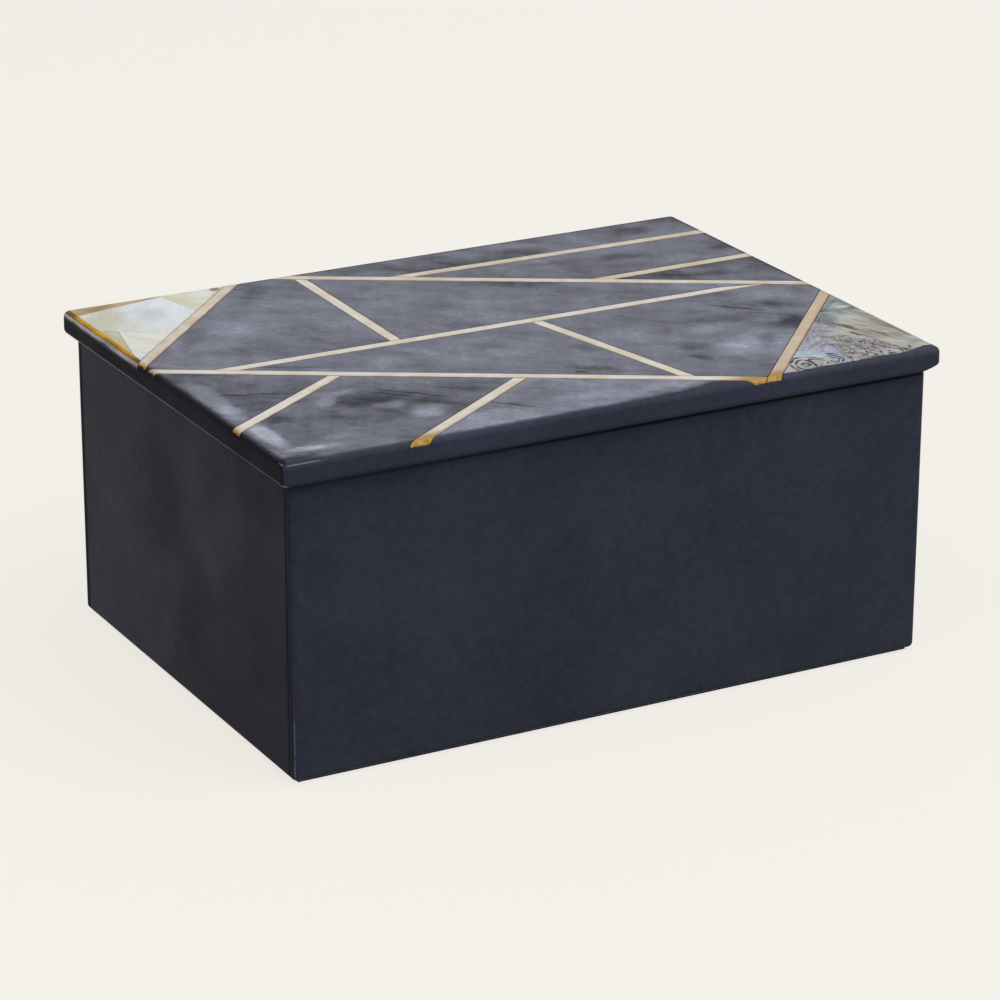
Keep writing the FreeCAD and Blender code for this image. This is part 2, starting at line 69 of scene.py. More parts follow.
# Seeing rays find the background colour. All other rays find the light and the floor of a studio.
SEEING_RAYS = ("Is Camera Ray", "Is Glossy Ray", "Is Transmission Ray")
BACKGROUND = (0.905, 0.879, 0.823)
BACKGROUND_STRENGTH = 1.0
STUDIO_LIGHT = (0.93, 0.94, 1.00)
STUDIO_STRENGTH = 0.5
STUDIO_FLOOR = (0.30, 0.30, 0.32)
FLOOR_HALF_WIDTH = 6.0
# Share of the floor's colour that no shadow reaches
FLOOR_GLOW = 0.85
# Place, width and power in watts of each lamp, and the point that they face
LAMPS = {"key": ((0.9, -1.1, 2.0), 2.6, 42.0), "fill": ((-1.7, -0.2, 1.3), 1.4, 9.0)}
LAMP_AIM = (0.0, 0.0, 0.05)

# Lacquer as painted lit and shaded copies of one colour: cooler and lighter on faces to the front and back,
# warmer and darker as painted shade on faces to the left and right
WALL_FRONT_LIT = (0.0390, 0.0426, 0.0598)
WALL_SIDE_SHADED = (0.0270, 0.0237, 0.0340)
WALL_GREY = (0.0425, 0.0415, 0.0530)
WALL_WORN = (0.120, 0.150, 0.195)
LID_FRONT_LIT = (0.0415, 0.0455, 0.0665)
LID_SIDE_SHADED = (0.0090, 0.0088, 0.0140)
LID_WORN = (0.160, 0.180, 0.210)
# A painted highlight along the lower arris of the lid's left side
LID_PAINTED_HIGHLIGHT = (0.560, 0.560, 0.560)
LACQUER_GLOSS = 0.02
# Dark joints, and the painted shadow along the walls under the lid's edge
JOINT_AND_RIM_SHADE = (0.0075, 0.0068, 0.0082)
JOINT_FROM_FACE = 3.0 * MM

# Brass, pale on top with a painted reflection, with stain and painted shade on its sides, and the glue line
# along its sides
BRASS_PALE_REFLECTION = (0.710, 0.680, 0.625)
BRASS_TAN = (0.550, 0.450, 0.330)
BRASS_AMBER = (0.37, 0.225, 0.060)
BRASS_STAIN_AND_SIDE_SHADE = (0.20, 0.080, 0.010)
BRASS_SEAM = (0.060, 0.045, 0.035)
# Share of bare metal in the dulled face of the strips
BRASS_BRIGHT = 0.5

# Smoke on the tiles, which also carries a painted sheen over the dark lacquer, from its darkest to its
# lightest
SMOKE_AND_SHEEN = [(0.00, (0.028, 0.031, 0.044)), (0.14, (0.070, 0.073, 0.090)), (0.30, (0.120, 0.124, 0.152)),
         (0.55, (0.186, 0.193, 0.237)), (0.80, (0.269, 0.279, 0.338)), (1.00, (0.394, 0.404, 0.468))]

# Shell, and the positions of the three colours that most pieces are clouded with
SHELL_GLOSS = 0.05
SHELL_STEPS = (0.35, 0.50, 0.65)

# Mother-of-pearl: the amber seam along the left arris, and the chalky side below it
SEAM_DARK = (0.42, 0.190, 0.002)
SEAM_LIGHT = (0.64, 0.310, 0.006)
SEAM_STAIN = (0.085, 0.036, 0.006)
CHALK_DARK = (0.24, 0.225, 0.215)
CHALK_LIGHT = (0.44, 0.42, 0.40)

# Abalone with loops: the bands round them by distance, and each loop's x, y, reach along and across, angle
LOOP_BANDS = [(0.00, (0.39, 0.375, 0.375)), (0.33, (0.43, 0.42, 0.43)), (0.38, (0.47, 0.50, 0.53)),
              (0.43, (0.31, 0.46, 0.49)), (0.51, (0.36, 0.43, 0.52)), (0.60, (0.32, 0.325, 0.39)),
              (0.70, (0.29, 0.29, 0.33)), (0.82, (0.28, 0.275, 0.305)), (0.94, (0.28, 0.32, 0.375)),
              (1.00, (0.25, 0.245, 0.265))]
LOOPS = [(73.2, -84, 4.4, 6.6, -20), (79.3, -83, 2.6, 5.2, 25), (84.0, -84.5, 3.0, 4.6, -40)]
LOOP_LINE = (0.024, 0.019, 0.018)
VIOLET = (0.35, 0.325, 0.52)
STROKE_DARK = (0.12, 0.105, 0.125)
STROKE_LIGHT = (0.48, 0.49, 0.54)
HOLE = (0.006, 0.005, 0.006)

# Abalone with squiggles, and with streaks
FLECK_LIGHT = (0.56, 0.53, 0.50)
SQUIGGLE = (0.020, 0.017, 0.017)
CONTOUR = (0.050, 0.062, 0.078)
VEIN = (0.050, 0.045, 0.035)

# Felt, the bottom board and the pins. The felt's edges drop by a share of its thickness.
FELT = (0.020, 0.019, 0.023)
FELT_GRID = 2.5 * MM
FELT_LUMPS = 9 * MM
FELT_EDGE_DROP = 0.35
LINING_RELIEF = 0.25 * MM
BOARD_DARK = (0.045, 0.028, 0.018)
BOARD_LIGHT = (0.150, 0.105, 0.070)
STEEL_DARK = (0.34, 0.33, 0.32)
STEEL_LIGHT = (0.62, 0.61, 0.60)

# Step through the noise from one piece to the next
SEED_STEP = (0.37, 0.61, 0.23)

STRIPS = [name for name in nodes if name.endswith("_strip")]
TILES = [name for name in nodes if name.endswith("_tile")]

# Boxes that the wear, the painted shadow and highlight and the other marks follow
lid_low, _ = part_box("lid_core")
lid_high = cad_box[1]
wall_low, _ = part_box("front_panel")
_, wall_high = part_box("back_panel")


class Paint:
    """A node material in the making. Most methods add nodes and return the socket that they give.

    place is a point of the part at rest, and x, y and z are its coordinates. upward and sideways say how
    far the surface faces up, and how far to the left or right. to_ends is sideways with the tilt left out.
    """

    def __init__(self, name):
        self.material = bpy.data.materials.new(name)
        self.material.use_nodes = True
        self.tree = self.material.node_tree
        self.tree.nodes.clear()
        coordinates = self.node("TexCoord")
        self.place = coordinates.outputs["Object"]
        self.x, self.y, self.z = self.split(self.place)
        facing = coordinates.outputs["Normal"]
        facing_x, _, self.upward = self.split(facing)
        self.sideways = self.math("ABSOLUTE", facing_x)
        level = self.vector("NORMALIZE", self.vector("MULTIPLY", facing, (1.0, 1.0, 0.0)))
        self.to_ends = self.math("ABSOLUTE", self.split(level)[0])

    def node(self, kind, **settings):
        """A new node of the material, with its settings."""
        node = self.tree.nodes.new("ShaderNode" + kind)
        for name, value in settings.items():
            setattr(node, name, value)
        return node

    def feed(self, socket, value):
        """Link an input to another socket, or set it to a number or a colour."""
        if isinstance(value, bpy.types.NodeSocket):
            self.tree.links.new(value, socket)
        elif hasattr(value, "__len__") and socket.type == "RGBA":
            socket.default_value = (*value, 1.0)
        else:
            socket.default_value = value

    def math(self, operation, first, second=0.0, third=0.0):
        node = self.node("Math", operation=operation)
        for socket, value in zip(node.inputs, (first, second, third)):
            self.feed(socket, value)
        return node.outputs[0]

    def product(self, first, *others):
        for other in others:
            first = self.math("MULTIPLY", first, other)
        return first

    def vector(self, operation, first, second=(0.0, 0.0, 0.0)):
        node = self.node("VectorMath", operation=operation)
        self.feed(node.inputs[0], first)
        self.feed(node.inputs[1], second)
        return node.outputs[0]

    def split(self, vector):
        node = self.node("SeparateXYZ")
        self.feed(node.inputs[0], vector)
        return node.outputs["X"], node.outputs["Y"], node.outputs["Z"]

    def total(self, start, *shares):
        """A sum of sockets, each with its own weight."""
        for socket, weight in shares:
            start = self.math("MULTIPLY_ADD", socket, weight, start)
        return start

    def turned(self, vector, angle, stretch=1.0):
        """Coordinates with X along the angle in plan, squeezed so that features stretch along it."""
        turn = self.node("Mapping")
        self.feed(turn.inputs["Vector"], vector)
        turn.inputs["Rotation"].default_value = (0.0, 0.0, -math.radians(angle))
        return self.vector("MULTIPLY", turn.outputs[0], (1.0 / stretch, 1.0, 1.0))

    def warped(self, vector, grain, reach):
        """Coordinates pushed about by noise, for edges that wander."""
        push = self.vector("SUBTRACT", self.noise(vector, grain, detail=3, colour=True), (0.5, 0.5, 0.5))
        push = self.vector("MULTIPLY", push, (2 * reach, 2 * reach, 2 * reach))
        return self.vector("ADD", vector, push)

    def noise(self, vector, grain, detail=3.0, roughness=0.5, distortion=0.0, colour=False):
        """Soft noise whose features are about as large as the grain."""
        node = self.node("TexNoise")
        self.feed(node.inputs["Vector"], vector)
        node.inputs["Scale"].default_value = 1.0 / grain
        node.inputs["Detail"].default_value = detail
        node.inputs["Roughness"].default_value = roughness
        node.inputs["Distortion"].default_value = distortion
        return node.outputs["Color" if colour else "Fac"]

    def remap(self, value, low, high, to_low=0.0, to_high=1.0):
        """A smooth step from one range to another."""
        node = self.node("MapRange", interpolation_type="SMOOTHSTEP")
        for socket, number in zip(node.inputs, (value, low, high, to_low, to_high)):
            self.feed(socket, number)
        return node.outputs["Result"]

    def spread(self, value, to_low=0.0, to_high=1.0, swing=0.2):
        """Noise that swings this far to both sides of a half, spread over a range."""
        return self.remap(value, 0.5 - swing, 0.5 + swing, to_low, to_high)

    def near(self, value, target, full, none, strength=1.0):
        """The strength where a value is close to the target, falling to 0 farther from it."""
        away = self.math("ABSOLUTE", self.math("SUBTRACT", value, target))
        return self.remap(away, full, none, strength, 0.0)

    def contours(self, field, spacing, width):
        """Thin lines a spacing apart in a field, each as wide as this share of the spacing."""
        step = self.math("FRACT", self.math("DIVIDE", field, spacing))
        return self.near(step, 0.5, 0.2 * width, 0.5 * width)

    def oval(self, vector, x, y, along, across, angle=0.0):
        """Distance from a spot of the lid: 0 in its middle and 1 on an oval rim, given in millimetres."""
        node = self.node("Mapping", vector_type="TEXTURE")
        self.feed(node.inputs["Vector"], vector)
        node.inputs["Location"].default_value = (x * MM, y * MM, lid_high.z)
        node.inputs["Rotation"].default_value = (0.0, 0.0, math.radians(angle))
        node.inputs["Scale"].default_value = (along * MM, across * MM, 1.0)
        length = self.node("VectorMath", operation="LENGTH")
        self.feed(length.inputs[0], node.outputs[0])
        return length.outputs["Value"]

    def spot(self, vector, x, y, along, across, angle=0.0, core=0.15):
        """1 inside the core of an oval on the lid, fading to 0 at its rim."""
        return self.remap(self.oval(vector, x, y, along, across, angle), core, 1.0, 1.0, 0.0)

    def mix(self, share, first, second, blend="MIX"):
        """One colour, then the other as the share grows."""
        node = self.node("Mix", data_type="RGBA", blend_type=blend)
        self.feed(node.inputs[0], share)
        self.feed(node.inputs[6], first)
        self.feed(node.inputs[7], second)
        return node.outputs[2]

    def shaded(self, colour, factor):
        """A colour made darker or lighter by a factor."""
        return self.mix(1.0, colour, factor, blend="MULTIPLY")

    def blend(self, share, first, second):
        """One number, then the other as the share grows."""
        node = self.node("Mix", data_type="FLOAT")
        self.feed(node.inputs[0], share)
        self.feed(node.inputs[2], first)
        self.feed(node.inputs[3], second)
        return node.outputs[0]

    def ramp(self, share, *stops):
        """A colour for each share, through stops of (position, colour)."""
        node = self.node("ValToRGB")
        self.feed(node.inputs[0], share)
        elements = node.color_ramp.elements
        while len(elements) < len(stops):
            elements.new(0.5)
        for element, (position, colour) in zip(elements, stops):
            element.position = position
            element.color = (*colour, 1.0)
        return node.outputs["Color"]

    def bump(self, height, depth, under=None):
        """A relief of the given depth, laid over another one."""
        node = self.node("Bump")
        node.inputs["Distance"].default_value = depth
        self.feed(node.inputs["Height"], height)
        if under is not None:
            self.feed(node.inputs["Normal"], under)
        return node.outputs["Normal"]

    def finish(self, colour, roughness, normal, metallic=0.0, **constants):
        """The surface itself. Constants are named after the shader's sockets."""
        shader = self.node("BsdfPrincipled")
        self.feed(shader.inputs["Base Color"], colour)
        self.feed(shader.inputs["Roughness"], roughness)
        self.feed(shader.inputs["Metallic"], metallic)
        self.feed(shader.inputs["Normal"], normal)
        for name, value in constants.items():
            shader.inputs[name.replace("_", " ")].default_value = value
        output = self.node("OutputMaterial")
        self.tree.links.new(shader.outputs["BSDF"], output.inputs["Surface"])
        return self.material


def seeded(paint, number):
    """The place on the part, moved so that each piece gets its own run of noise."""
    return paint.vector("ADD", paint.place, [number * step for step in SEED_STEP])


def from_sides(paint, low, high):
    """Along each axis, the distance from the nearer side of a box from low to high."""
    reach = []
    for here, lower, upper in zip((paint.x, paint.y, paint.z), low, high):
        from_low = paint.math("SUBTRACT", here, lower)
        from_high = paint.math("SUBTRACT", upper, here)
        reach.append(paint.math("MINIMUM", from_low, from_high))
    return reach


def near_edge(paint, low, high, full, none):
    """1 along the arrises of a box from low to high, falling to 0 at a distance from them."""
    reach_x, reach_y, reach_z = from_sides(paint, low, high)
    nearer = paint.math("MINIMUM", reach_x, reach_y)
    farther = paint.math("MAXIMUM", reach_x, reach_y)
    middle = paint.math("MAXIMUM", nearer, paint.math("MINIMUM", farther, reach_z))
    return paint.remap(middle, full, none, 1.0, 0.0)


def from_rim(paint):
    """Distance from the outline of the lid, on its top."""
    return paint.math("MINIMUM", *from_sides(paint, lid_low.xy, lid_high.xy))


def mottled(paint, lit_front, shaded_sides):
    """Dark lacquer with soft clouds and specks, warmer and darker as painted shade on faces to the left and
    right.
    """
    # Painted shade: faces to the left and right take the darker colour, faces to the front and back the lit
    # one
    tint = paint.mix(paint.remap(paint.to_ends, 0.72, 0.97), lit_front, shaded_sides)
    clouds = paint.noise(paint.place, 45 * MM, detail=4, roughness=0.6)
    specks = paint.noise(paint.place, 2.5 * MM, detail=3, roughness=0.65)
    tint = paint.shaded(tint, paint.spread(clouds, 0.89, 1.11))
    return paint.shaded(tint, paint.spread(specks, 0.90, 1.10))


def satin(paint):
    """Roughness and relief of rubbed lacquer."""
    smudges = paint.noise(paint.place, 22 * MM, detail=5, roughness=0.6)
    waves = paint.bump(paint.noise(paint.place, 30 * MM, detail=1), 0.10 * MM)
    grain = paint.noise(paint.place, 0.7 * MM, detail=3, roughness=0.6)
    return paint.spread(smudges, 0.42, 0.58, swing=0.25), paint.bump(grain, 0.02 * MM, waves)


def wall_lacquer(name):
    """Lacquer on the walls, with painted shade on faces to the left and right and a painted shadow along
    the rim under the lid, dark along the joints, and rubbed pale low on the arrises.
    """
    paint = Paint(name)
    drift = paint.total(paint.noise(paint.place, 70 * MM, detail=2), (paint.y, 1.5))
    colour = mottled(paint, WALL_FRONT_LIT, paint.mix(paint.remap(drift, 0.42, 0.62), WALL_SIDE_SHADED, WALL_GREY))
    ragged = paint.noise(paint.place, 6 * MM, detail=4, roughness=0.65)
    from_middle = paint.total(paint.math("ABSOLUTE", paint.y), (ragged, 1.0 * MM))
    joint = paint.near(from_middle, wall_high.y - JOINT_FROM_FACE, 0.5 * MM, 1.7 * MM, 0.85)
    joint = paint.product(joint, paint.remap(paint.sideways, 0.6, 0.9))
    # Painted shadow: a dark band just below the lid on faces to the front and back, stronger to the right
    below_lid = paint.remap(paint.z, wall_high.z - 2.2 * MM, wall_high.z - 1.4 * MM)
    to_front = paint.remap(paint.sideways, 0.9, 0.4)
    rim = paint.product(below_lid, to_front, paint.remap(paint.x, -110 * MM, 20 * MM, 0.0, 0.85))
    colour = paint.mix(paint.math("MAXIMUM", joint, rim), colour, JOINT_AND_RIM_SHADE)
    low_down = paint.remap(paint.z, wall_low.z, wall_low.z + 50 * MM, 1.0, 0.0)
    rubbed = paint.remap(paint.total(ragged, (low_down, 0.20)), 0.60, 0.72, 0.0, 0.9)
    worn = paint.product(near_edge(paint, wall_low, wall_high, 0.65 * MM, 0.95 * MM), rubbed)
    colour = paint.mix(worn, colour, WALL_WORN)
    roughness, relief = satin(paint)
    return paint.finish(colour, roughness, relief, Specular_IOR_Level=LACQUER_GLOSS)


def lid_colour(paint):
    """Lacquer on the lid's sides, darker on faces to the left and right as painted shade, rubbed pale at
    the front left corner.
    """
    chips = paint.noise(paint.place, 3 * MM, detail=4, roughness=0.65)
    corner = paint.spot(paint.place, -119, -90, 14, 8, core=0.4)
    rubbed = paint.remap(paint.total(chips, (corner, 0.28)), 0.68, 0.82)
    worn = paint.product(near_edge(paint, lid_low, lid_high, 0.70 * MM, 0.90 * MM), rubbed)
    worn = paint.product(worn, paint.remap(paint.upward, 0.2, 0.5))
    return paint.mix(worn, mottled(paint, LID_FRONT_LIT, LID_SIDE_SHADED), LID_WORN)


def lid_lacquer(name):
    """Lacquer on the lid board, with a pale painted highlight along the lower arris of its left side."""
    paint = Paint(name)
    # Painted highlight: a pale line on the lower fillet of the left side, fainter towards the front
    under = paint.product(paint.remap(paint.upward, -0.44, -0.56), paint.remap(paint.upward, -0.94, -0.88))
    above_battens = paint.remap(paint.z, lid_low.z - 0.5 * MM, lid_low.z)
    along_side = paint.remap(paint.y, lid_low.y, 60 * MM, 0.4, 0.95)
    line = paint.product(under, above_battens, along_side, paint.remap(paint.sideways, 0.20, 0.42))
    colour = paint.mix(line, lid_colour(paint), LID_PAINTED_HIGHLIGHT)
    roughness, relief = satin(paint)
    return paint.finish(colour, roughness, relief, Specular_IOR_Level=LACQUER_GLOSS)


def smoky_tile(name, number, tone, patches, streaks):
    """Charcoal lacquer rubbed to a cloudy finish, its top lightened by a painted sheen, with patches,
    streaks and painted highlight bands, over dark sides.
    """
    paint = Paint(name)
    place = seeded(paint, number)
    drawn = paint.turned(place, -35.0, stretch=1.8)
    smoke = paint.noise(drawn, 24 * MM, detail=5, roughness=0.58, distortion=0.6)
    wisps = paint.noise(drawn, 8 * MM, detail=4, roughness=0.6, distortion=0.4)
    haze = paint.noise(paint.turned(place, 62.0, stretch=6.0), 5 * MM, detail=3)
    cloud = paint.total(tone - 0.46, (smoke, 1.10), (wisps, 0.56), (haze, 0.26))
    wander = paint.warped(paint.place, 11 * MM, 5 * MM)
    for *place_of, strength in patches:
        cloud = paint.total(cloud, (paint.spot(wander, *place_of), strength))
    ragged = paint.warped(paint.place, 3.5 * MM, 1.3 * MM)
    # The light streaks along the left arris are painted highlights, the dark ones rubbed streaks and
    # scratches
    for *place_of, strength in streaks:
        cloud = paint.total(cloud, (paint.spot(ragged, *place_of, core=0.45), strength))
    scratches = paint.noise(paint.turned(place, -44.0, stretch=22.0), 1.6 * MM, detail=2)
    some_places = paint.remap(paint.noise(place, 20 * MM, detail=2), 0.50, 0.62)
    scored = paint.product(paint.remap(scratches, 0.60, 0.72), some_places)
    cloud = paint.total(cloud, (scored, -0.17))
    # The top's grey is partly a painted sheen over the dark lacquer
    top = paint.ramp(cloud, *SMOKE_AND_SHEEN)
    fine = paint.noise(paint.turned(place, 0.0, stretch=3.0), 0.8 * MM, detail=3, roughness=0.7)
    top = paint.shaded(top, paint.spread(fine, 0.82, 1.18, swing=0.25))
    uneven = paint.noise(paint.place, 4 * MM, detail=3)
    arris = paint.remap(paint.total(paint.upward, (uneven, 0.16)), 0.90, 0.97)
    inside = paint.total(from_rim(paint), (uneven, -1.2 * MM))
    inside = paint.remap(inside, 0.6 * MM, 3.0 * MM, 0.12, 1.0)
    on_top = paint.product(arris, inside)
    colour = paint.mix(on_top, lid_colour(paint), top)
    side_roughness, relief = satin(paint)
    roughness = paint.blend(on_top, side_roughness, paint.remap(cloud, 0.2, 0.8, 0.36, 0.46))
    relief = paint.bump(fine, 0.006 * MM, relief)
    return paint.finish(colour, roughness, relief, Specular_IOR_Level=LACQUER_GLOSS)


def strip_run(node):
    """The way a strip runs in plan, from its longest crease, and the two sides that it lies between."""
    mesh = node.data
    uses = {}
    for polygon in mesh.polygons:
        for key in polygon.edge_keys:
            uses[key] = uses.get(key, 0) + 1
    creases = [key for key, count in uses.items() if count == 1]
    start, end = max(((mesh.vertices[a].co, mesh.vertices[b].co) for a, b in creases),
                     key=lambda pair: (pair[0] - pair[1]).length)
    along = end - start if end.x > start.x else start - end
    across = Vector((-along.y, along.x, 0.0)).normalized()
    sides = [across.dot(vertex.co) for vertex in mesh.vertices]
    return math.degrees(math.atan2(along.y, along.x)), min(sides), max(sides)


def brass(name, node, number, tan):
    """Brass ground flush and brushed along the strip, pale on top with a painted reflection, amber at the
    rim, with lacquer run over its ends.
    """
    paint = Paint(name)
    angle, front, back = strip_run(node)
    place = seeded(paint, number)
    lines = paint.noise(paint.turned(place, angle, stretch=50.0), 0.45 * MM, detail=3, roughness=0.65)
    tarnish = paint.noise(place, 9 * MM, detail=5, roughness=0.62)
    # Painted reflection: the pale colour of the top stands in for pale surroundings seen in the metal; tan
    # is tarnish
    top = paint.mix(paint.spread(tarnish, tan - 0.3, tan + 0.3), BRASS_PALE_REFLECTION, BRASS_TAN)
    top = paint.shaded(top, paint.spread(lines, 0.84, 1.08, swing=0.25))
    across = paint.split(paint.turned(paint.place, angle))[1]
    edge = paint.remap(across, front + 0.15 * MM, front + 1.0 * MM, 1.0, 0.0)
    gilt = paint.product(edge, paint.remap(tarnish, 0.30, 0.60, 0.15, 0.65))
    from_front = paint.total(paint.math("SUBTRACT", paint.y, lid_low.y), (tarnish, 6 * MM))
    gilt = paint.math("MAXIMUM", gilt, paint.remap(from_front, 5.0 * MM, 12 * MM, 0.95, 0.0))
    gilt = paint.math("MAXIMUM", gilt, paint.remap(from_rim(paint), 0.5 * MM, 4 * MM, 0.7, 0.0))
    at_side = paint.remap(paint.sideways, 0.4, 0.7)
    stain = paint.remap(paint.noise(place, 2.2 * MM, detail=2), 0.45, 0.7, 0.0, 0.6)
    # Stain in spots, plus painted shade that darkens the faces to the left and right
    amber = paint.mix(paint.math("MAXIMUM", stain, paint.product(at_side, 0.4)), BRASS_AMBER, BRASS_STAIN_AND_SIDE_SHADE)
    on_top = paint.remap(paint.upward, 0.78, 0.96)
    colour = paint.mix(on_top, amber, paint.mix(gilt, top, BRASS_AMBER))
    seam = paint.math("MAXIMUM", paint.remap(across, front, front + 0.20 * MM, 0.7, 0.0),
                      paint.remap(across, back - 0.12 * MM, back, 0.0, 0.5))
    colour = paint.mix(paint.product(seam, on_top), colour, BRASS_SEAM)
    ragged = paint.noise(paint.place, 2.5 * MM, detail=2)
    drips = paint.total(paint.z, (ragged, -1.6 * MM), (at_side, -0.8 * MM))
    covered = paint.remap(drips, lid_high.z - 2.5 * MM, lid_high.z - 2.2 * MM, 1.0, 0.0)
    colour = paint.mix(covered, colour, mottled(paint, LID_FRONT_LIT, LID_SIDE_SHADED))
    roughness = paint.blend(on_top, 0.55, paint.spread(lines, 0.42, 0.56, swing=0.25))
    metallic = paint.total(BRASS_BRIGHT, (covered, -BRASS_BRIGHT))
    return paint.finish(colour, roughness, paint.bump(lines, 0.004 * MM), metallic,
                        Specular_IOR_Level=LACQUER_GLOSS)


def with_spots(paint, colour, spots):
    """A colour with soft ovals of other colours laid over it, one after the other."""
    wander = paint.warped(paint.warped(paint.place, 6 * MM, 1.6 * MM), 1.8 * MM, 0.5 * MM)
    for *place_of, tint, strength in spots:
        share = paint.product(paint.spot(wander, *place_of), strength)
        colour = paint.mix(share, colour, tint)
    return colour


def mother_of_pearl(name, number, angle, grain, clouds, spots):
    """Polished shell with cloudy bands and soft spots, and an amber seam along the lid's left arris, darker
    as painted shade where it turns down.
    """
    paint = Paint(name)
    place = seeded(paint, number)
    drawn = paint.turned(place, angle, stretch=2.2)
    bands = paint.noise(drawn, grain, detail=3, roughness=0.45, distortion=1.2)
    colour = with_spots(paint, paint.ramp(bands, *zip(SHELL_STEPS, clouds)), spots)
    growth = paint.noise(paint.turned(place, angle, stretch=9.0), 1.1 * MM, detail=3)
    colour = paint.shaded(colour, paint.spread(growth, 0.95, 1.04))
    play = paint.noise(place, 5 * MM, detail=2, colour=True)
    colour = paint.mix(0.10, colour, play, blend="OVERLAY")
    wander = paint.noise(paint.turned(place, 90.0, stretch=4.0), 3 * MM, detail=3)
    inner = paint.total(paint.x, (wander, -1.0 * MM))
    seam = paint.remap(inner, lid_low.x + 1.8 * MM, lid_low.x + 2.3 * MM, 1.0, 0.0)
    tilt = paint.total(paint.upward, (wander, 0.3))
    back_end = paint.remap(paint.y, 78 * MM, 83 * MM)
    ends = paint.math("MAXIMUM", back_end, paint.remap(paint.y, 33 * MM, 27 * MM))
    amber = paint.mix(paint.spread(wander, swing=0.15), SEAM_DARK, SEAM_LIGHT)
    # Painted shade: the amber darkens as the arris turns down
    amber = paint.shaded(amber, paint.remap(tilt, 0.92, 1.06, 0.35, 1.0))
    amber = paint.mix(paint.product(ends, 0.85), amber, SEAM_STAIN)
    colour = paint.mix(seam, colour, amber)
    chalk = paint.mix(paint.spread(wander), CHALK_DARK, CHALK_LIGHT)
    foot = paint.total(paint.z, (wander, 1.0 * MM))
    bare = paint.remap(foot, lid_high.z - 1.35 * MM, lid_high.z - 0.95 * MM)
    side = paint.mix(bare, mottled(paint, LID_FRONT_LIT, LID_SIDE_SHADED), chalk)
    colour = paint.mix(paint.remap(tilt, 0.82, 0.92), side, colour)
    roughness = paint.spread(bands, 0.24, 0.36)
    return paint.finish(colour, roughness, paint.bump(bands, 0.03 * MM), Specular_IOR_Level=SHELL_GLOSS)


def abalone(paint, colour, field):
    """Polished abalone, with the lid's lacquer on its sides and run unevenly over the front arris."""
    uneven = paint.noise(paint.place, 8 * MM, detail=2)
    ragged = paint.total(uneven, (paint.noise(paint.place, 1.8 * MM, detail=3), 0.3))
    at_corner = paint.remap(paint.x, 112 * MM, 121 * MM)
    from_front = paint.total(paint.y, (ragged, -3.0 * MM), (at_corner, -2.6 * MM))
    clear = paint.remap(from_front, lid_low.y, lid_low.y + 0.35 * MM)
    bare = paint.product(paint.remap(paint.upward, 0.35, 0.75), clear)
    colour = paint.mix(bare, lid_colour(paint), colour)
    roughness = paint.spread(field, 0.24, 0.36)
    return paint.finish(colour, roughness, paint.bump(field, 0.04 * MM), Specular_IOR_Level=SHELL_GLOSS)


def looped_abalone(name, number):
    """Shell with dark loops along the front edge and bands of colour that run round them."""
    paint = Paint(name)
    place = seeded(paint, number)
    field = paint.noise(paint.turned(place, 30.0, stretch=2.5), 6 * MM, detail=4, distortion=0.8)
    wander = paint.warped(paint.warped(paint.place, 9 * MM, 2.6 * MM), 2.5 * MM, 0.9 * MM)
    reach = paint.oval(wander, 74, -86, 30, 30)
    colour = paint.ramp(reach, *LOOP_BANDS)
    violet = paint.spot(wander, 91, -77, 8, 7, 60, core=0.35)
    colour = paint.mix(paint.product(violet, 0.85), colour, VIOLET)
    colour = paint.shaded(colour, paint.spread(field, 0.76, 1.16))
    beyond = paint.remap(reach, 0.50, 0.60)
    strokes = paint.noise(paint.turned(wander, 42.0, stretch=5.0), 1.5 * MM, detail=2, distortion=0.4)
    dark = paint.product(beyond, paint.remap(strokes, 0.54, 0.64, 0.0, 0.65))
    light = paint.product(beyond, paint.remap(strokes, 0.46, 0.36, 0.0, 0.55))
    colour = paint.mix(light, paint.mix(dark, colour, STROKE_DARK), STROKE_LIGHT)
    crooked = paint.warped(paint.warped(paint.place, 6 * MM, 1.6 * MM), 2.2 * MM, 0.35 * MM)
    nearest, *others = [paint.oval(crooked, *loop) for loop in LOOPS]
    for other in others:
        nearest = paint.math("MINIMUM", nearest, other)
    rings = paint.product(paint.contours(nearest, 0.46, 0.8), paint.remap(nearest, 1.60, 1.20))
    broken = paint.remap(paint.noise(place, 3.5 * MM, detail=3), 0.40, 0.54, 0.25, 1.0)
    colour = paint.mix(paint.product(rings, broken), colour, LOOP_LINE)
    hole = paint.spot(paint.place, 86.8, -78.0, 1.9, 1.0, -28, core=0.5)
    return abalone(paint, paint.mix(hole, colour, HOLE), field)


